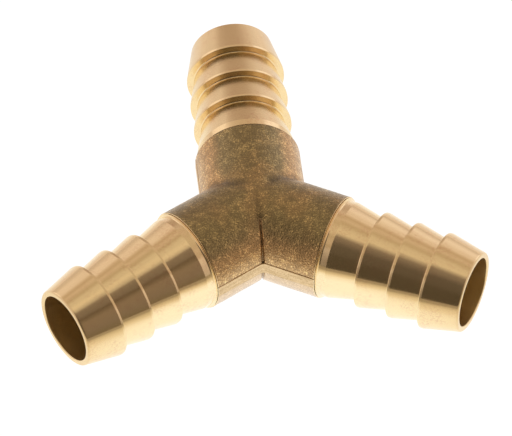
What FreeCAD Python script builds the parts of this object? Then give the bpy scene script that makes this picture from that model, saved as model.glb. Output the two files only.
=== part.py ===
"""Barbed Y hose connector in brass, for three hoses of 13 mm inside diameter.

A hot-forged centre body carries three identical turned hose tails at 120 degrees. Each
tail has a spigot that fits a socket in the body and a shoulder that seats on the body's
end face. The origin is the point where the three bore axes cross, +Z is up, and the rear
tail points along +Y. Lengths are in millimetres.
"""
import FreeCAD
import Part
import Sketcher
import os

SIZES = {
    # hose tail
    "crest_dia": 14.0,
    "root_dia": 12.0,
    "tip_dia": 11.6,
    "bore_dia": 10.0,
    "rim_dia": 14.8,
    "rim_width": 0.05,
    "rim_fillet": 0.35,
    "shoulder_length": 1.55,
    "barb_pitch": 4.8,
    "crest_land": 0.5,
    "tip_cone_length": 5.15,
    "tip_chamfer": 0.3,
    "mouth_chamfer": 0.15,
    "root_fillet": 0.2,
    # spigot of the tail and its socket in the body
    "spigot_dia": 12.4,
    "spigot_length": 5.0,
    "spigot_chamfer": 0.3,
    "joint_gap": 0.04,
    "floor_gap": 0.1,
    # forged body
    "body_dia": 14.9,
    "body_reach": 12.0,
    "seam_width": 15.1,
    "seam_height": 3.0,
    "crotch_radius": 2.0,
    "crease_radius": 1.0,
}
BARBS = 3
ARMS = 3
TAIL_TURNS = {"hose_tail_rear": 0, "hose_tail_left": 120, "hose_tail_right": -120}
UP = FreeCAD.Vector(0, 0, 1)
SAME = 1e-4

# Places on half the tail's section, as formulas: radius, distance along the arm.
SHOULDER_END = "Sizes.body_reach + Sizes.shoulder_length"
TIP_END = f"{SHOULDER_END} + {BARBS} * Sizes.barb_pitch + Sizes.tip_cone_length"
INNER_END = "Sizes.body_reach - Sizes.spigot_length"
INNER_MOUTH = ("Sizes.bore_dia / 2", INNER_END)
SPIGOT_END = ("Sizes.spigot_dia / 2", INNER_END)
RIM_FOOT = ("Sizes.crest_dia / 2", "Sizes.body_reach + Sizes.rim_width")
TIP_EDGE = ("Sizes.tip_dia / 2", TIP_END)
TIP_MOUTH = ("Sizes.bore_dia / 2", TIP_END)


def size_sheet(doc):
    """The driving dimensions, one row each, with the name as the value's alias."""
    sheet = doc.addObject("Spreadsheet::Sheet", "Sizes")
    for row, (name, value) in enumerate(SIZES.items(), start=1):
        sheet.set(f"A{row}", name)
        sheet.set(f"B{row}", str(value))
        sheet.setAlias(f"B{row}", name)
    doc.recompute()
    return sheet


def origin_feature(body, role):
    """A plane or an axis of the body's own origin."""
    return next(item for item in body.Origin.OriginFeatures if item.Role == role)


def plane_sketch(body, plane, name):
    """An empty sketch on one of the body's own origin planes."""
    sketch = body.newObject("Sketcher::SketchObject", name)
    sketch.AttachmentSupport = (origin_feature(body, plane), [""])
    sketch.MapMode = "FlatFace"
    return sketch


def closed_outline(sketch, corners):
    """Straight sides through corners, whose two coordinates are formulas on the sheet."""
    places = [FreeCAD.Vector(*map(sketch.evalExpression, corner)) for corner in corners]
    for index, place in enumerate(places):
        sketch.addGeometry(Part.LineSegment(place, places[(index + 1) % len(places)]))
    for index, (place, corner) in enumerate(zip(places, corners)):
        following = (index + 1) % len(places)
        sketch.addConstraint(Sketcher.Constraint("Coincident", index, 2, following, 1))
        for direction, value, formula in zip(("DistanceX", "DistanceY"), place, corner):
            limit = Sketcher.Constraint(direction, -1, 1, index, 1, value)
            number = sketch.addConstraint(limit)
            sketch.setExpression(f"Constraints[{number}]", formula)


def circle(sketch, diameter):
    """One circle about the sketch's origin, with its diameter given by a formula."""
    radius = sketch.evalExpression(diameter) / 2
    sketch.addGeometry(Part.Circle(FreeCAD.Vector(), UP, radius))
    sketch.addConstraint(Sketcher.Constraint("Coincident", 0, 3, -1, 1))
    number = sketch.addConstraint(Sketcher.Constraint("Diameter", 0, 2 * radius))
    sketch.setExpression(f"Constraints[{number}]", diameter)


def edges_where(feature, wanted):
    """Names of the feature's edges for which wanted(edge) is true."""
    return [
        f"Edge{number}"
        for number, edge in enumerate(feature.Shape.Edges, start=1)
        if wanted(edge)
    ]


def passes_through(feature, corners):
    """A test for the round edges that turned corners, given as formulas, have made."""
    places = [tuple(map(feature.evalExpression, corner)) for corner in corners]

    def wanted(edge):
        if not isinstance(edge.Curve, Part.Circle):
            return False
        radius = edge.Curve.Radius
        along = edge.Curve.Center.y
        return any(abs(radius - r) < SAME and abs(along - y) < SAME for r, y in places)

    return wanted


def dress(body, kind, name, base, wanted, size):
    """A fillet or chamfer of the given size on the base's edges that pass the test."""
    feature = body.newObject(f"PartDesign::{kind}", name)
    feature.Base = (base, edges_where(base, wanted))
    feature.setExpression("Radius" if kind == "Fillet" else "Size", size)
    body.Document.recompute()
    return feature


def pad(body, sketch, name, length, midplane=False):
    """A pad of the sketch, either side of its plane or towards +Y, where an arm lies."""
    feature = body.newObject("PartDesign::Pad", name)
    feature.Profile = sketch
    feature.SideType = "Symmetric" if midplane else "One side"
    feature.Reversed = not midplane
    feature.setExpression("Length", length)
    return feature


def pocket(body, sketch, name, start, end):
    """A round hole along +Y between two distances from the body's centre."""
    sketch.setExpression("AttachmentOffset.Base.z", f"-({start})")
    feature = body.newObject("PartDesign::Pocket", name)
    feature.Profile = sketch
    feature.setExpression("Length", f"{end} - ({start})")
    return feature


def on_every_arm(body, name, originals):
    """The originals, made on the arm along +Y, repeated on all of the arms."""
    pattern = body.newObject("PartDesign::PolarPattern", name)
    pattern.Originals = originals
    pattern.Axis = (origin_feature(body, "Z_Axis"), [""])
    pattern.Angle = 360
    pattern.Occurrences = ARMS
    body.Tip = pattern
    body.Document.recompute()
    return pattern


def at_crotch(distance):
    """A test for the upright edges where the seam's sides meet, between two arms."""

    def wanted(edge):
        upright = abs(edge.tangentAt(edge.FirstParameter).z) > 1 - SAME
        return upright and abs(edge.CenterOfMass.Length - distance) < SAME

    return wanted


def is_crease(edge):
    """Whether the edge is one where two round arms meet."""
    return isinstance(edge.Curve, Part.Ellipse)


def forged_body(doc):
    """Three arms that meet at 120 degrees, with a trimmed seam strip around their outline."""
    body = doc.addObject("PartDesign::Body", "forged_body")
    seam_outline = plane_sketch(body, "XY_Plane", "SeamOutline")
    side = "Sizes.seam_width / 2"
    closed_outline(seam_outline, [
        (f"-{side}", "0"),
        (side, "0"),
        (side, "Sizes.body_reach"),
        (f"-{side}", "Sizes.body_reach"),
    ])
    seam = pad(body, seam_outline, "Seam", "Sizes.seam_height", midplane=True)
    seams = on_every_arm(body, "Seams", [seam])
    crotch = seams.evalExpression("Sizes.seam_width / sqrt(3)")
    dress(body, "Fillet", "Crotches", seams, at_crotch(crotch), "Sizes.crotch_radius")
    arm_section = plane_sketch(body, "XZ_Plane", "ArmSection")
    circle(arm_section, "Sizes.body_dia")
    arm = pad(body, arm_section, "Arm", "Sizes.body_reach")
    arms = on_every_arm(body, "Arms", [arm])
    dress(body, "Fillet", "Creases", arms, is_crease, "Sizes.crease_radius")
    bore_section = plane_sketch(body, "XZ_Plane", "BoreSection")
    circle(bore_section, "Sizes.bore_dia")
    bore = pocket(body, bore_section, "Bore", "0", "Sizes.body_reach")
    on_every_arm(body, "Bores", [bore])
    socket_section = plane_sketch(body, "XZ_Plane", "SocketSection")
    circle(socket_section, "Sizes.spigot_dia + 2 * Sizes.joint_gap")
    socket_floor = "Sizes.body_reach - Sizes.spigot_length - Sizes.floor_gap"
    socket = pocket(body, socket_section, "Socket", socket_floor, "Sizes.body_reach")
    on_every_arm(body, "Sockets", [socket])
    return body


def barb_step(barb):
    """How far along the arm the face of barb 1, 2 or 3 is."""
    return f"{SHOULDER_END} + {barb} * Sizes.barb_pitch - Sizes.crest_land"


def tail_corners():
    """Half the tail's section, from the spigot's inner end out to the tip."""
    corners = [
        INNER_MOUTH,
        SPIGOT_END,
        ("Sizes.spigot_dia / 2", "Sizes.body_reach"),
        ("Sizes.rim_dia / 2", "Sizes.body_reach"),
        ("Sizes.rim_dia / 2", "Sizes.body_reach + Sizes.rim_width"),
        RIM_FOOT,
        ("Sizes.crest_dia / 2", SHOULDER_END),
    ]
    for barb in range(1, BARBS + 1):
        step = barb_step(barb)
        corners += [
            ("Sizes.root_dia / 2", step),
            ("Sizes.crest_dia / 2", step),
            ("Sizes.crest_dia / 2", f"{step} + Sizes.crest_land"),
        ]
    return corners + [TIP_EDGE, TIP_MOUTH]


def hose_tail(doc, name, turn):
    """A turned tube with a spigot, a shoulder and barbs that fall away to the tip."""
    body = doc.addObject("PartDesign::Body", name)
    section = plane_sketch(body, "XY_Plane", "Section")
    closed_outline(section, tail_corners())
    turned = body.newObject("PartDesign::Revolution", "Turned")
    turned.Profile = section
    turned.ReferenceAxis = (origin_feature(body, "Y_Axis"), [""])
    turned.Angle = 360
    doc.recompute()
    roots = [("Sizes.root_dia / 2", barb_step(barb)) for barb in range(1, BARBS + 1)]
    dressings = [
        ("Fillet", "Roots", roots, "Sizes.root_fillet"),
        ("Fillet", "Rim", [RIM_FOOT], "Sizes.rim_fillet"),
        ("Chamfer", "Tip", [TIP_EDGE], "Sizes.tip_chamfer"),
        ("Chamfer", "Mouth", [TIP_MOUTH], "Sizes.mouth_chamfer"),
        ("Chamfer", "SpigotLead", [SPIGOT_END], "Sizes.spigot_chamfer"),
    ]
    feature = turned
    for kind, title, corners, size in dressings:
        feature = dress(body, kind, title, feature, passes_through(feature, corners), size)
    body.Placement.Rotation = FreeCAD.Rotation(UP, turn)
    return body


def check(doc, bodies):
    """Stop if any feature failed, or if any sub-part isn't one sound solid."""
    for item in doc.Objects:
        if {"Invalid", "Error"} & set(item.State):
            raise RuntimeError(f"{item.Label} is {item.State}")
    for body in bodies:
        shape = body.Shape
        if shape.isNull() or not shape.isValid() or len(shape.Solids) != 1:
            raise RuntimeError(f"{body.Label} isn't one valid solid")
        print(body.Label, round(shape.Volume, 1), "mm3", shape.BoundBox)


def main():
    doc = FreeCAD.newDocument("BarbedYConnector")
    size_sheet(doc)
    bodies = [forged_body(doc)]
    bodies += [hose_tail(doc, name, turn) for name, turn in TAIL_TURNS.items()]
    doc.recompute()
    check(doc, bodies)
    os.makedirs("parts", exist_ok=True)
    for body in bodies:
        body.Shape.exportStep(f"parts/{body.Label}.step")


main()
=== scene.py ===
"""Looks for the brass barbed Y hose connector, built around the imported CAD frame.

The forged body and the three turned tails are rebuilt as clean quad meshes on the CAD
solids' sizes. Everything is in metres, with the origin where the bore axes cross and the
rear tail along +Y.
"""
import math

import bmesh
import bpy
from mathutils import Matrix, Vector, noise


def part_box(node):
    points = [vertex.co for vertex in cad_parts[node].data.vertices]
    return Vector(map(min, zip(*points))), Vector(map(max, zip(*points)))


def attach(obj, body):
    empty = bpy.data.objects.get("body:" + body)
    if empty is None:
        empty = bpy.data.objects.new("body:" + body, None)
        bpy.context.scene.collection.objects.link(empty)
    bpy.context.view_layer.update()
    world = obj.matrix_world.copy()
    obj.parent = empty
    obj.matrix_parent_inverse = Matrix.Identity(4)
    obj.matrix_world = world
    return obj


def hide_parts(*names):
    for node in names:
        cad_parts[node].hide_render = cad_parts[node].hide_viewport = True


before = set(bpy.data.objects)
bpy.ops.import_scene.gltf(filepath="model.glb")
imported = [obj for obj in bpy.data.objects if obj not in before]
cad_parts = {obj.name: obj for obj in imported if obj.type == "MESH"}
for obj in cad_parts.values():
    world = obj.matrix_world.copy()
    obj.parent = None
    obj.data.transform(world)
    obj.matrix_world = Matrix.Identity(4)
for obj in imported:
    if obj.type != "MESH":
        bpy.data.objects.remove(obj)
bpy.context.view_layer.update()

MM = 0.001
DECIMETRE = 0.1
ARMS = 3
ARM_TURN = 2 * math.pi / ARMS
ROOT_3 = math.sqrt(3)
TAIL_TURNS = {"hose_tail_rear": 0, "hose_tail_left": 1, "hose_tail_right": -1}

# Outer sizes, from the frame.
BODY_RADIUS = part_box("forged_body")[1].z
BODY_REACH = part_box("forged_body")[1].y
INNER_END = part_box("hose_tail_rear")[0].y
TIP_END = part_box("hose_tail_rear")[1].y

# The turned tail: radii, then places along the arm.
CREST = 7.0 * MM
ROOT = 6.0 * MM
TIP = 5.8 * MM
BORE = 5.0 * MM
SPIGOT = 6.2 * MM
RIM = 7.35 * MM
SEAT = 6.95 * MM
RIM_START = BODY_REACH + 0.1 * MM
RIM_END = BODY_REACH + 0.18 * MM
SHOULDER_END = BODY_REACH + 1.4 * MM
BARB_PITCH = 4.8 * MM
CREST_LAND = 0.35 * MM
STEP_LEAN = 0.15 * MM
BARBS = 3
AROUND = 256
ARC_STEPS = 5
HOLD = 0.03 * MM
CREST_WEAR = 0.008 * MM
WEAR_REACH = 0.02 * MM
TAIL_BORE = 1

# The forged body.
SOCKET = SPIGOT + 0.04 * MM
SOCKET_FLOOR = INNER_END - 0.1 * MM
SEAM_SIDE = 7.42 * MM
SEAM_HALF = 1.0 * MM
SEAM_BEVEL = 0.03 * MM
SEAM_NICK = 0.08 * MM
CROTCH_RADIUS = 1.0 * MM
ROWS_ON_ARC = 56
ROWS_ON_SEAM = 10
COLUMNS = 60
COLUMN_CROWDING = 1.6
END_BEVEL = 0.06 * MM
END_FACE_COLUMNS = 5
CREASE_SOFT = 2.4 * MM
CREASE_SHARP = 0.12 * MM
FORGED, SEAM, MACHINED, BORED = range(4)

# The forged skin's relief and its creases' marks, all in millimetres. A mark fades in and out
# by the half width of the arms where it lies, and spreads to each side of the crease.
SKIN_SWELL = 0.03
SKIN_PEEL = 0.008
SKIN_INSET = 0.025
SEAM_STREAK = 0.014
HOLLOW_DEPTH = 0.09
CUT_DEPTH = 0.16
END_FADE = 0.6
FRONT_HOLLOW_IN, FRONT_HOLLOW_OUT, FRONT_HOLLOW_SPREAD = (0.3, 1.8), (4.4, 5.2), 0.6
REAR_HOLLOW_IN, REAR_HOLLOW_OUT, REAR_HOLLOW_SPREAD = (1.0, 2.6), (6.2, 7.0), 0.75
CUT_IN, CUT_SPREAD = (4.0, 4.6), 0.12
FRONT_HOLLOW_SHARE = 0.85

# How deep the materials' bumps are.
TURNING_DEPTH = 0.0009 * MM
GRAIN_DEPTH = 0.03 * MM
SHEAR_DEPTH = 0.02 * MM

# The camera: a long lens, close to a parallel view.
CAMERA_AZIMUTH = math.radians(-5.731)
CAMERA_ELEVATION = math.radians(48.615)
CAMERA_ROLL = math.radians(-0.716)
CAMERA_DISTANCE = 999.3 * MM
CAMERA_SHIFT = (-0.076 * MM, 0.581 * MM)
CAMERA_LENS = 498.5

# The metals' colours.
BRASS = (0.95, 0.77, 0.44)
BRASS_STAINED = (0.86, 0.62, 0.36)
FORGED_BRASS = (0.42, 0.29, 0.118)
FORGED_OLIVE = (0.31, 0.24, 0.1)
# A painted sheen: the golden tone the skin's sides take, as if they caught the tent's bright sides.
FORGED_PAINTED_SIDE_SHEEN = (0.64, 0.41, 0.175)
# A painted reflection: the cream tone of the underside, as if it mirrored the glowing floor.
FORGED_PAINTED_FLOOR_REFLECTION = (0.78, 0.57, 0.33)
TRIMMED_BRASS = (0.84, 0.61, 0.33)
TRIMMED_DARK = (0.58, 0.40, 0.19)

# The tent's and the opening's tones by the sine of the elevation: 0 level, 1 straight up.
TENT_TONES = (
    (0.0, (0.64, 0.53, 0.49)),
    (0.17, (0.67, 0.54, 0.49)),
    (0.34, (0.73, 0.59, 0.545)),
    (0.6, (0.785, 0.64, 0.585)),
    (0.68, (0.63, 0.485, 0.40)),
    (0.745, (0.54, 0.405, 0.305)),
    (0.83, (0.65, 0.505, 0.415)),
    (0.92, (0.515, 0.40, 0.29)),
    (0.97, (0.69, 0.575, 0.46)),
    (0.985, (0.66, 0.54, 0.43)),
    (0.998, (0.79, 0.66, 0.52)),
)
OPENING_RIGHT = (
    (0.0, (0.187, 0.142, 0.096)),
    (0.3, (0.225, 0.168, 0.135)),
    (0.65, (0.25, 0.18, 0.138)),
    (0.73, (0.20, 0.145, 0.105)),
    (0.80, (0.125, 0.085, 0.057)),
    (0.86, (0.20, 0.15, 0.12)),
    (1.0, (0.215, 0.162, 0.136)),
)
OPENING_LEFT = (
    (0.0, (0.080, 0.061, 0.043)),
    (0.5, (0.082, 0.062, 0.043)),
    (0.65, (0.103, 0.080, 0.062)),
    (0.82, (0.107, 0.084, 0.067)),
    (0.88, (0.150, 0.115, 0.098)),
    (0.95, (0.23, 0.177, 0.148)),
)
# Spots in the tent: towards, the cosines at its soft edge's outside and inside, and its tone.
TENT_SPOTS = (
    ((0, 0.94, 0.34), 0.9, 1.0, (0.47, 0.345, 0.285)),
    ((-0.64, 0.69, 0.34), 0.94, 0.985, (1.05, 0.90, 0.86)),
    ((0.71, 0.66, 0.25), 0.94, 0.985, (1.08, 0.97, 1.0)),
)
# The floor: its place, its glow, its tone to the camera, and the tones it reflects into the
# metal, by the distance from the connector in tenths of a metre.
FLOOR_DROP = 0.05 * MM
FLOOR_GLOW = 0.9
FLOOR_SEEN = (1.04, 1.07, 1.09)
FLOOR_FRONT = (
    (0.25, (1.11, 1.16, 1.25)),
    (0.34, (1.03, 1.0, 0.98)),
    (0.42, (0.86, 0.76, 0.63)),
    (0.51, (0.73, 0.63, 0.50)),
    (0.64, (0.61, 0.52, 0.39)),
    (0.88, (0.46, 0.38, 0.28)),
    (1.0, (0.30, 0.24, 0.17)),
)
FLOOR_BACK = (
    (0.25, (1.03, 1.01, 1.0)),
    (0.38, (0.97, 0.93, 0.90)),
    (0.5, (0.86, 0.78, 0.77)),
    (0.75, (0.83, 0.73, 0.72)),
    (1.0, (0.78, 0.65, 0.61)),
)


# Meshes

def smooth_object(name, mesh):
    """An object for the mesh, in the scene, with smooth shading."""
    mesh.shade_smooth()
    piece = bpy.data.objects.new(name, mesh)
    bpy.context.scene.collection.objects.link(piece)
    return piece


def rounded_outline(corners):
    """A closed outline through (radius, along, rounding) corners."""
    places = [Vector((radius, along)) for radius, along, _ in corners]
    tangents = []
    for index, (_, _, rounding) in enumerate(corners):
        before = places[index - 1] - places[index]
        after = places[(index + 1) % len(places)] - places[index]
        tangents.append(rounding / math.tan(before.angle(after) / 2))
    points = []
    for index, corner in enumerate(places):
        following = (index + 1) % len(places)
        before, after = places[index - 1], places[following]
        tangent = tangents[index]
        holds = []
        for other, its_tangent in ((before, tangents[index - 1]), (after, tangents[following])):
            straight = (other - corner).length - tangent - its_tangent
            holds.append(tangent + min(HOLD, straight / 3))
        towards_before = (before - corner).normalized()
        towards_after = (after - corner).normalized()
        points.append(corner + towards_before * holds[0])
        points += arc(corner, towards_before, towards_after, tangent)
        points.append(corner + towards_after * holds[1])
    return points


def arc(corner, towards_before, towards_after, tangent):
    """Points along a corner's rounding."""
    half_angle = towards_before.angle(towards_after) / 2
    middle = (towards_before + towards_after).normalized()
    centre = corner + middle * tangent / math.cos(half_angle)
    start = corner + towards_before * tangent - centre
    end = corner + towards_after * tangent - centre
    turn = start.angle_signed(end)
    spins = (Matrix.Rotation(-turn * step / ARC_STEPS, 2) for step in range(ARC_STEPS + 1))
    return [centre + spin @ start for spin in spins]


def tail_outline():
    """Half the section of a hose tail: spigot, seat, shoulder, barbs, tip and bore."""
    corners = [
        (BORE, INNER_END, 0.1 * MM),
        (SPIGOT, INNER_END, 0.3 * MM),
        (SPIGOT, BODY_REACH, 0.05 * MM),
        (SEAT, BODY_REACH, 0.02 * MM),
        (SEAT, RIM_START, 0.02 * MM),
        (RIM, RIM_START, 0.02 * MM),
        (RIM, RIM_END, 0.02 * MM),
        (CREST, RIM_END, 0.27 * MM),
        (CREST, SHOULDER_END, 0.4 * MM),
    ]
    for barb in range(1, BARBS + 1):
        land_end = SHOULDER_END + barb * BARB_PITCH
        land_start = land_end - CREST_LAND
        corners += [
            (ROOT, land_start - STEP_LEAN, 0.2 * MM),
            (CREST, land_start, 0.05 * MM),
            (CREST, land_end, 0.4 * MM),
        ]
    corners += [
        (TIP, TIP_END, 0.3 * MM),
        (BORE, TIP_END, 0.15 * MM),
    ]
    return rounded_outline(corners)


def worn(radius, along, angle):
    """The radius at a place on a tail, where handling has worn the crests a little unevenly."""
    if radius < CREST - WEAR_REACH or radius > CREST + WEAR_REACH:
        return radius
    place = Vector((math.sin(angle) * 9, math.cos(angle) * 9, along / MM * 1.5))
    return radius - CREST_WEAR * (0.5 + noise.noise(place))


def hose_tail(node, turn):
    """One tail, turned about its arm, in place of the CAD tail of that name.

    Its UV map runs round the tail in U and along the section's outline, in decimetres, in V.
    """
    outline = tail_outline()
    placed = Matrix.Rotation(turn * ARM_TURN, 3, "Z")
    lengths = [0]
    for index, point in enumerate(outline):
        following = outline[(index + 1) % len(outline)]
        lengths.append(lengths[-1] + (following - point).length / DECIMETRE)
    made = bmesh.new()
    turned_uv = made.loops.layers.uv.new("turned")
    rings = []
    for radius, along in outline:
        ring = []
        for step in range(AROUND):
            angle = 2 * math.pi * step / AROUND
            reach = worn(radius, along, angle)
            place = Vector((reach * math.sin(angle), along, reach * math.cos(angle)))
            ring.append(made.verts.new(placed @ place))
        rings.append(ring)
    for index, ring in enumerate(rings):
        following = rings[(index + 1) % len(rings)]
        low, high = lengths[index:index + 2]
        for step in range(AROUND):
            beside = (step + 1) % AROUND
            face = made.faces.new((ring[step], following[step], following[beside], ring[beside]))
            left, right = step / AROUND, (step + 1) / AROUND
            corners = ((left, low), (left, high), (right, high), (right, low))
            for loop, place in zip(face.loops, corners):
                loop[turned_uv].uv = place
            if max(outline[index][0], outline[(index + 1) % len(outline)][0]) < BORE + HOLD:
                face.material_index = TAIL_BORE
    mesh = bpy.data.meshes.new(node + "_turned")
    made.to_mesh(mesh)
    made.free()
    return smooth_object(node + "_turned", mesh)


def crease_radius(half_width):
    """How softly the forged arms meet where they are this wide: broad on top, then sharp."""
    share = half_width / BODY_RADIUS
    opening = min(share / 0.3, 1)
    soft = CREASE_SOFT * opening * (1 - smooth_step(0.4, 0.68, share))
    return soft + CREASE_SHARP * opening


def smooth_step(low, high, value):
    """From 0 to 1 as the value goes from low to high."""
    share = min(max((value - low) / (high - low), 0), 1)
    return share * share * (3 - 2 * share)


def within(rise, fall, value):
    """From 0 to 1 over the rise, and back to 0 over the fall."""
    return smooth_step(*rise, value) * (1 - smooth_step(*fall, value))


def body_rows():
    """One side of an arm's outer section, top to bottom: half width, height, fillet, seam."""
    seam_angle = math.acos(SEAM_HALF / BODY_RADIUS)
    upper = []
    for step in range(ROWS_ON_ARC + 1):
        angle = seam_angle * step / ROWS_ON_ARC
        half_width = BODY_RADIUS * math.sin(angle)
        upper.append((half_width, BODY_RADIUS * math.cos(angle), crease_radius(half_width), False))
    ledge_start = BODY_RADIUS * math.sin(seam_angle)
    upper.append((ledge_start - SEAM_NICK, SEAM_HALF - HOLD, CROTCH_RADIUS / 2, False))
    upper.append((ledge_start - SEAM_NICK, SEAM_HALF - SEAM_NICK, CROTCH_RADIUS, True))
    for step in range(ARC_STEPS + 1):
        angle = math.pi / 2 * step / ARC_STEPS
        half_width = SEAM_SIDE - SEAM_BEVEL * (1 - math.sin(angle))
        height = SEAM_HALF - SEAM_NICK - SEAM_BEVEL * (1 - math.cos(angle))
        upper.append((half_width, height, CROTCH_RADIUS, True))
    last = upper[-1][1]
    for step in range(1, ROWS_ON_SEAM):
        upper.append((SEAM_SIDE, last * (1 - step / ROWS_ON_SEAM), CROTCH_RADIUS, True))
    middle = (SEAM_SIDE, 0, CROTCH_RADIUS, True)
    lower = []
    for width, height, fillet, seam in reversed(upper):
        lower.append((width, -height, fillet, seam))
    # The strip's lower edge has no nick: its two rows there are set just off the arm's surface.
    blend = ARC_STEPS + ROWS_ON_SEAM
    lower[blend] = (ledge_start + HOLD / 3, -SEAM_HALF + SEAM_NICK / 2, CROTCH_RADIUS, True)
    lower[blend + 1] = (ledge_start + HOLD / 6, -SEAM_HALF + HOLD / 2, CROTCH_RADIUS / 2, False)
    return upper + [middle] + lower


def from_crotch(half_width, fillet, end):
    """Points in plan from the line between two arms, round their fillet, to the arm's end."""
    bend = fillet * math.pi / 6
    straight_start = (half_width + fillet) / ROOT_3
    length = bend + end - straight_start
    points = []
    for column in range(COLUMNS + 1):
        distance = length * (column / COLUMNS) ** COLUMN_CROWDING
        if distance < bend:
            angle = math.radians(210) - distance / fillet
            x = half_width + fillet + fillet * math.cos(angle)
            y = straight_start + fillet * math.sin(angle)
        else:
            x = half_width
            y = straight_start + distance - bend
        points.append((x, y))
    return points


def row_points(half_width, height, fillet):
    """One row's points: out along the arm, over its end, and back down its socket and bore."""
    outer = [(x, y, height) for x, y in from_crotch(half_width, fillet, BODY_REACH - END_BEVEL)]
    across = Vector((half_width, 0, height))
    radius = across.length
    direction = across / radius
    ring = [
        (radius - END_BEVEL, BODY_REACH),
        (radius - 2 * END_BEVEL, BODY_REACH),
        ((radius + SOCKET) / 2, BODY_REACH),
        (SOCKET + 3 * HOLD, BODY_REACH),
        (SOCKET + 2 * HOLD, BODY_REACH),
        (SOCKET, BODY_REACH - 2 * HOLD),
        (SOCKET, BODY_REACH - 3 * HOLD),
        (SOCKET, SOCKET_FLOOR + HOLD),
        (SOCKET, SOCKET_FLOOR),
        (SOCKET - HOLD, SOCKET_FLOOR),
        (BORE + HOLD, SOCKET_FLOOR),
        (BORE, SOCKET_FLOOR),
        (BORE, SOCKET_FLOOR - HOLD),
    ]
    end = [(r * direction.x, y, r * direction.z) for r, y in ring]
    bore_x = BORE * direction.x
    bore_z = BORE * direction.z
    start = SOCKET_FLOOR - HOLD
    stop = bore_x / ROOT_3
    steps = COLUMNS // 4
    bore = [(bore_x, start + (stop - start) * step / steps, bore_z) for step in range(1, steps + 1)]
    return outer + end + bore


def forged_body():
    """The centre body: half of one arm's surface, mirrored and turned into all three."""
    rows = body_rows()
    grid = [row_points(width, height, fillet) for width, height, fillet, _ in rows]
    made = bmesh.new()
    for arm in range(ARMS):
        for mirror in (1, -1):
            turn = Matrix.Rotation(arm * ARM_TURN, 3, "Z")
            corners = [
                [made.verts.new(turn @ Vector((mirror * x, y, z))) for x, y, z in row]
                for row in grid
            ]
            for row in range(len(grid) - 1):
                on_seam = rows[row][3] and rows[row + 1][3]
                for column in range(len(grid[0]) - 1):
                    face = made.faces.new((
                        corners[row][column],
                        corners[row][column + 1],
                        corners[row + 1][column + 1],
                        corners[row + 1][column],
                    ))
                    if column < COLUMNS:
                        face.material_index = SEAM if on_seam else FORGED
                    elif column < COLUMNS + END_FACE_COLUMNS:
                        face.material_index = MACHINED
                    else:
                        face.material_index = BORED
    bmesh.ops.remove_doubles(made, verts=made.verts, dist=0.001 * MM)
    bmesh.ops.recalc_face_normals(made, faces=made.faces)
    mesh = bpy.data.meshes.new("forged_body_skin")
    made.to_mesh(mesh)
    made.free()
    return smooth_object("forged_body_skin", mesh)


def crease_marks(place):
    """A crease between two arms at a place, in millimetres: its soft hollow and its sharp cut."""
    valley, towards = max(
        (place.xy @ direction, direction)
        for direction in (Vector((0, -1)), Vector((-ROOT_3 / 2, 0.5)), Vector((ROOT_3 / 2, 0.5)))
    )
    off = abs(place.x * towards.y - place.y * towards.x)
    half_width = valley * ROOT_3 / 2
    if towards.x == 0:
        cut = smooth_step(*CUT_IN, half_width) * math.exp(-(off / CUT_SPREAD) ** 2)
        hollow = within(FRONT_HOLLOW_IN, FRONT_HOLLOW_OUT, half_width)
        spread = math.exp(-(off / FRONT_HOLLOW_SPREAD) ** 2)
        return FRONT_HOLLOW_SHARE * hollow * spread, cut
    hollow = within(REAR_HOLLOW_IN, REAR_HOLLOW_OUT, half_width)
    return hollow * math.exp(-(off / REAR_HOLLOW_SPREAD) ** 2), 0


def roughen(piece):
    """Moves the forged skin and the trimmed seam in and out a little, as forging leaves them.

    The skin's creases are also marked on the mesh, for the painted shade that darkens their colour.
    """
    mesh = piece.data
    skin = set()
    seam = set()
    held = set()
    for face in mesh.polygons:
        target = {FORGED: skin, SEAM: seam}.get(face.material_index, held)
        target.update(face.vertices)
    normals = [vertex.normal.copy() for vertex in mesh.vertices]
    shade = mesh.attributes.new("crease", "FLOAT", "POINT").data
    for vertex in mesh.vertices:
        if vertex.index in held:
            continue
        place = vertex.co / MM
        reach = max(place @ arm for arm in arm_directions())
        fade = smooth_step(0, END_FADE, BODY_REACH / MM - reach)
        if vertex.index in seam:
            streaks = noise.noise(Vector((place.x * 0.25, place.y * 0.25, place.z * 5)))
            move = SEAM_STREAK * streaks
        else:
            hollow, cut = crease_marks(place)
            swell = noise.noise(place * 0.35)
            peel = noise.noise(place * 2.2)
            relief = SKIN_SWELL * swell + SKIN_PEEL * peel
            move = relief - SKIN_INSET - HOLLOW_DEPTH * hollow - CUT_DEPTH * cut
            # Painted shade: how far the creases' hollow and cut darken the skin's colour.
            shade[vertex.index].value = min(hollow + cut, 1)
        vertex.co += normals[vertex.index] * move * fade * MM


def arm_directions():
    """The three arms' directions."""
    return [Matrix.Rotation(arm * ARM_TURN, 3, "Z") @ Vector((0, 1, 0)) for arm in range(ARMS)]


# Materials

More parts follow.
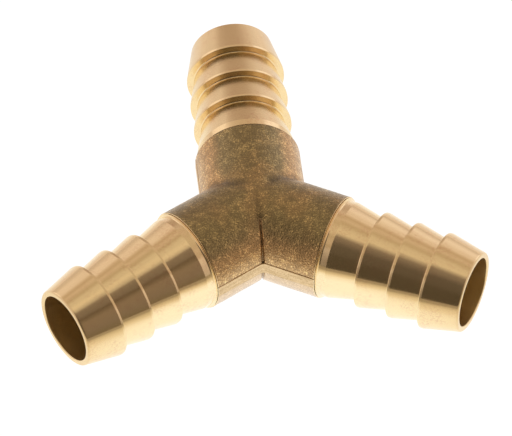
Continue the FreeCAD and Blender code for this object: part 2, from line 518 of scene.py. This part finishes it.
class Graph:
    """Short calls for adding nodes to a node tree and joining them."""

    def __init__(self, tree):
        self.tree = tree

    def add(self, kind, **settings):
        """A node of the kind, with its own settings."""
        node = self.tree.nodes.new(kind)
        for name, value in settings.items():
            setattr(node, name, value)
        return node

    def put(self, node, **inputs):
        """Gives a node's inputs numbers, colours or other nodes' outputs."""
        for name, value in inputs.items():
            self.feed(node.inputs[name.replace("_", " ")], value)
        return node

    def feed(self, socket, value):
        """Gives one input a number, a colour, a vector or another node's output."""
        if isinstance(value, bpy.types.NodeSocket):
            self.tree.links.new(value, socket)
        elif socket.type == "RGBA":
            socket.default_value = (*value, 1)
        else:
            socket.default_value = value

    def math(self, operation, *values):
        """The result of a Math node on numbers or outputs."""
        node = self.add("ShaderNodeMath", operation=operation)
        for socket, value in zip(node.inputs, values):
            self.feed(socket, value)
        return node.outputs[0]

    def smooth(self, value, low, high):
        """From 0 to 1 as the value goes from low to high."""
        node = self.add("ShaderNodeMapRange", interpolation_type="SMOOTHSTEP")
        self.put(node, Value=value, From_Min=low, From_Max=high)
        return node.outputs[0]

    def mix(self, share, first, second):
        """A colour between two colours."""
        node = self.add("ShaderNodeMix", data_type="RGBA")
        for name, value in (("Factor_Float", share), ("A_Color", first), ("B_Color", second)):
            self.feed(next(item for item in node.inputs if item.identifier == name), value)
        return node.outputs[2]

    def ramp(self, value, stops):
        """A colour read from (position, colour) stops."""
        node = self.add("ShaderNodeValToRGB")
        elements = node.color_ramp.elements
        while len(elements) < len(stops):
            elements.new(0.5)
        for element, (position, colour) in zip(elements, stops):
            element.position = position
            element.color = (*colour, 1)
        self.put(node, Fac=value)
        return node.outputs[0]

    def noise(self, vector, scale, detail=2, roughness=0.5):
        """Noise from 0 to 1 at places given by the vector."""
        node = self.add("ShaderNodeTexNoise")
        self.put(node, Vector=vector, Scale=scale, Detail=detail, Roughness=roughness)
        return node.outputs[0]

    def place(self):
        """Where a point lies on its object."""
        return self.add("ShaderNodeTexCoord").outputs["Object"]

    def axes(self, vector):
        """The X, Y and Z of a vector."""
        return self.put(self.add("ShaderNodeSeparateXYZ"), Vector=vector).outputs

    def bump(self, height, strength, depth):
        """A normal tilted by the height."""
        node = self.add("ShaderNodeBump")
        return self.put(node, Height=height, Strength=strength, Distance=depth).outputs[0]

    def stretched(self, vector, scale):
        """The vector, with each of its axes scaled."""
        node = self.add("ShaderNodeMapping")
        self.put(node, Vector=vector, Scale=scale)
        return node.outputs[0]


def metal(name, colour, roughness):
    """A new metal: the material, its node graph and its shader."""
    material = bpy.data.materials.new(name)
    material.use_nodes = True
    shader = material.node_tree.nodes["Principled BSDF"]
    graph = Graph(material.node_tree)
    graph.put(shader, Base_Color=colour, Metallic=1.0, Roughness=roughness)
    return material, graph, shader


def turned_brass():
    """Bright brass, turned in a lathe: fine marks run round each tail, under faint stains."""
    material, graph, shader = metal("turned_brass_bright", BRASS, 0.15)
    along = graph.add("ShaderNodeUVMap", uv_map="turned").outputs[0]
    place = graph.place()
    fine = graph.noise(graph.stretched(along, (2, 600, 1)), 1, 2)
    coarse = graph.noise(graph.stretched(along, (1.5, 110, 1)), 1, 1)
    cloud = graph.noise(place, 330, 3, 0.6)
    specks = graph.noise(place, 3200, 2, 0.6)
    stain = graph.math("MULTIPLY", graph.smooth(cloud, 0.4, 0.7), graph.smooth(specks, 0.35, 0.75))
    graph.put(shader, Base_Color=graph.mix(stain, BRASS, BRASS_STAINED))
    rubbed = graph.math("MULTIPLY_ADD", specks, 0.08, 0.095)
    graph.put(shader, Roughness=graph.math("MULTIPLY_ADD", cloud, 0.05, rubbed))
    marks = graph.math("MULTIPLY_ADD", coarse, 1.6, fine)
    bump = graph.bump(marks, 1.0, TURNING_DEPTH)
    tangent = graph.add("ShaderNodeTangent", direction_type="UV_MAP", uv_map="turned")
    graph.put(shader, Normal=bump, Tangent=tangent.outputs[0])
    graph.put(shader, Anisotropic=0.95, Anisotropic_Rotation=0.25)
    return material


def forged_brass():
    """Brass as it leaves the forge and the shot blaster: dull, brown and finely grained."""
    material, graph, shader = metal("forged_brass_grained", FORGED_BRASS, 0.5)
    place = graph.place()
    across, _, upward = graph.axes(graph.add("ShaderNodeNewGeometry").outputs["True Normal"])
    grain = graph.noise(place, 5600, 1, 0.5)
    patches = graph.noise(place, 1000, 4, 0.65)
    stain = graph.noise(place, 200, 2, 0.5)
    dimples = graph.add("ShaderNodeTexVoronoi")
    graph.put(dimples, Vector=place, Scale=3400.0)
    dimple = dimples.outputs["Distance"]
    olive = graph.math("MULTIPLY", graph.smooth(upward, 0.4, 0.9), graph.smooth(stain, 0.25, 0.55))
    skin = graph.mix(olive, FORGED_BRASS, FORGED_OLIVE)
    # Painted sheen: faces turned sideways or down take a lighter golden tone, less so where the
    # stain noise is high.
    sideways = graph.math("ABSOLUTE", across)
    low = graph.math("MULTIPLY_ADD", stain, 0.25, upward)
    low = graph.math("MULTIPLY_ADD", sideways, -0.5, low)
    skin = graph.mix(graph.smooth(low, 0.75, 0.3), skin, FORGED_PAINTED_SIDE_SHEEN)
    # Painted reflection: faces turned down take the pale cream tone.
    skin = graph.mix(graph.smooth(upward, 0.05, -0.15), skin, FORGED_PAINTED_FLOOR_REFLECTION)
    speckle = graph.math("MULTIPLY_ADD", patches, 0.7, graph.math("MULTIPLY", grain, 0.85))
    # Painted glints: the brightest specks of grain are made lighter still in the colour.
    glints = graph.math("MULTIPLY", graph.smooth(speckle, 0.84, 1.05), 0.75)
    speckle = graph.math("MULTIPLY_ADD", graph.math("SUBTRACT", speckle, 0.775), 1.9, 0.93)
    speckle = graph.math("ADD", graph.math("MAXIMUM", speckle, 0.74), glints)
    # Underneath, the specks fade towards an even tone, so the painted reflection stays smooth.
    calm = graph.math("MULTIPLY", graph.smooth(upward, 0.05, -0.2), 0.6)
    to_plain = graph.math("SUBTRACT", 1.0, speckle)
    speckle = graph.math("ADD", speckle, graph.math("MULTIPLY", calm, to_plain))
    # Painted shade: the skin's colour darkens by up to 0.42 where the mesh marks a crease.
    crease = graph.add("ShaderNodeAttribute", attribute_name="crease").outputs["Fac"]
    shade = graph.math("MULTIPLY", speckle, graph.math("MULTIPLY_ADD", crease, -0.42, 1.0))
    tone = graph.add("ShaderNodeVectorMath", operation="SCALE")
    graph.put(tone, Vector=skin, Scale=shade)
    graph.put(shader, Base_Color=tone.outputs[0])
    graph.put(shader, Roughness=graph.math("MULTIPLY_ADD", speckle, -0.15, 0.56))
    height = graph.math("MULTIPLY_ADD", dimple, 1.2, grain)
    depth = graph.math("MULTIPLY_ADD", graph.smooth(upward, -0.2, 0.35), 0.9, 0.1)
    bump = graph.bump(height, depth, GRAIN_DEPTH)
    graph.put(shader, Normal=bump, Coat_Weight=0.6, Coat_Roughness=0.4, Coat_Normal=bump)
    return material


def trimmed_brass():
    """The seam strip, sheared along its length when the flash was trimmed off."""
    material, graph, shader = metal("trimmed_brass_streaked", TRIMMED_BRASS, 0.38)
    place = graph.place()
    streaks = graph.noise(graph.stretched(place, (300, 300, 5000)), 1, 3, 0.6)
    grain = graph.noise(place, 3500, 2, 0.6)
    mottle = graph.math("MULTIPLY_ADD", grain, 0.7, streaks)
    shade = graph.smooth(mottle, 0.62, 1.08)
    graph.put(shader, Base_Color=graph.mix(shade, TRIMMED_DARK, TRIMMED_BRASS))
    graph.put(shader, Normal=graph.bump(mottle, 1.0, SHEAR_DEPTH))
    return material


def machined_brass():
    """Bare cut brass, on the body's end faces: slightly uneven in tone and roughness."""
    material, graph, shader = metal("machined_brass_cut", BRASS, 0.25)
    place = graph.place()
    uneven = graph.noise(place, 1800, 2, 0.6)
    graph.put(shader, Roughness=graph.math("MULTIPLY_ADD", uneven, 0.2, 0.15))
    graph.put(shader, Base_Color=graph.mix(graph.smooth(uneven, 0.4, 0.8), BRASS, BRASS_STAINED))
    return material


def bored_brass():
    """The drilled insides: brass whose roughness varies with a tarnish noise."""
    material, graph, shader = metal("bored_brass_drilled", BRASS, 0.4)
    place = graph.place()
    tarnish = graph.noise(place, 600, 3, 0.6)
    graph.put(shader, Roughness=graph.math("MULTIPLY_ADD", tarnish, 0.14, 0.24))
    return material


# Stage

def camera():
    """A long lens above the front of the connector, turned a little to its left."""
    lens = bpy.data.cameras.new("camera")
    lens.lens = CAMERA_LENS
    lens.sensor_width = 36
    lens.sensor_fit = "HORIZONTAL"
    lens.clip_end = 100
    view = bpy.data.objects.new("camera", lens)
    bpy.context.scene.collection.objects.link(view)
    cosine = math.cos(CAMERA_ELEVATION)
    back = Vector((
        math.sin(CAMERA_AZIMUTH) * cosine,
        -math.cos(CAMERA_AZIMUTH) * cosine,
        math.sin(CAMERA_ELEVATION),
    ))
    roll = Matrix.Rotation(CAMERA_ROLL, 4, "Z")
    view.matrix_world = back.to_track_quat("Z", "Y").to_matrix().to_4x4() @ roll
    right = view.matrix_world.col[0].to_3d()
    up = view.matrix_world.col[1].to_3d()
    place = back * CAMERA_DISTANCE + right * CAMERA_SHIFT[0] + up * CAMERA_SHIFT[1]
    view.matrix_world.translation = place
    bpy.context.scene.camera = view


def floor():
    """A plain pale floor under the connector."""
    made = bmesh.new()
    bmesh.ops.create_grid(made, x_segments=1, y_segments=1, size=3)
    mesh = bpy.data.meshes.new("floor")
    made.to_mesh(mesh)
    made.free()
    sheet = bpy.data.objects.new("floor", mesh)
    bpy.context.scene.collection.objects.link(sheet)
    sheet.location.z = -BODY_RADIUS - FLOOR_DROP
    material, graph, shader = metal("pale_floor", (0.2, 0.2, 0.2), 0.9)
    graph.put(shader, Metallic=0.0, Specular_IOR_Level=0.0)
    x, y, _ = graph.axes(graph.add("ShaderNodeNewGeometry").outputs["Position"])
    squares = graph.math("ADD", graph.math("MULTIPLY", x, x), graph.math("MULTIPLY", y, y))
    distance = graph.math("SQRT", squares)
    share = graph.math("MULTIPLY", distance, 10.0)
    frontness = graph.math("DIVIDE", graph.math("MULTIPLY", y, -1), distance)
    front = graph.ramp(share, FLOOR_FRONT)
    back = graph.ramp(share, FLOOR_BACK)
    lit = graph.mix(graph.smooth(frontness, -0.1, 0.6), back, front)
    camera_ray = graph.add("ShaderNodeLightPath").outputs["Is Camera Ray"]
    graph.put(shader, Emission_Color=graph.mix(camera_ray, lit, FLOOR_SEEN))
    graph.put(shader, Emission_Strength=FLOOR_GLOW)
    mesh.materials.append(material)


def studio_light():
    """A pale light tent: brighter at the back's sides, and dim in front, where it opens."""
    world = bpy.data.worlds.new("studio")
    world.use_nodes = True
    bpy.context.scene.world = world
    graph = Graph(world.node_tree)
    background = world.node_tree.nodes["Background"]
    direction = graph.add("ShaderNodeTexCoord").outputs["Generated"]
    x, y, z = graph.axes(direction)
    level = graph.math("SQRT", graph.math("SUBTRACT", 1.0001, graph.math("MULTIPLY", z, z)))
    frontness = graph.math("DIVIDE", graph.math("MULTIPLY", y, -1), level)
    leftness = graph.math("DIVIDE", graph.math("MULTIPLY", x, -1), level)
    opening = graph.math(
        "MULTIPLY",
        graph.smooth(frontness, 0.63, 0.74),
        graph.smooth(z, 0.987, 0.958),
    )
    right, left = graph.ramp(z, OPENING_RIGHT), graph.ramp(z, OPENING_LEFT)
    dim = graph.mix(graph.smooth(leftness, -0.38, -0.05), right, left)
    folds = graph.noise(direction, 14, 3, 0.6)
    tent = graph.add("ShaderNodeVectorMath", operation="SCALE")
    graph.put(tent, Vector=graph.ramp(z, TENT_TONES))
    graph.put(tent, Scale=graph.math("MULTIPLY_ADD", folds, 0.22, 0.89))
    seen = tent.outputs[0]
    for towards, reach, soft, tone in TENT_SPOTS:
        spot = graph.add("ShaderNodeVectorMath", operation="DOT_PRODUCT")
        graph.put(spot, Vector=direction)
        spot.inputs[1].default_value = towards
        seen = graph.mix(graph.smooth(spot.outputs["Value"], reach, soft), seen, tone)
    seen = graph.mix(opening, seen, dim)
    camera_ray = graph.add("ShaderNodeLightPath").outputs["Is Camera Ray"]
    graph.put(background, Color=graph.mix(camera_ray, seen, (1, 1, 1)), Strength=1.0)


def main():
    tail_brass = turned_brass()
    bore_brass = bored_brass()
    for node, turn in TAIL_TURNS.items():
        tail = hose_tail(node, turn)
        tail.data.materials.append(tail_brass)
        tail.data.materials.append(bore_brass)
        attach(tail, "root")
        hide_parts(node)
    body = forged_body()
    for material in (forged_brass(), trimmed_brass(), machined_brass(), bore_brass):
        body.data.materials.append(material)
    roughen(body)
    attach(body, "root")
    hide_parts("forged_body")
    camera()
    floor()
    studio_light()
    bpy.context.scene.view_settings.view_transform = "Standard"


main()
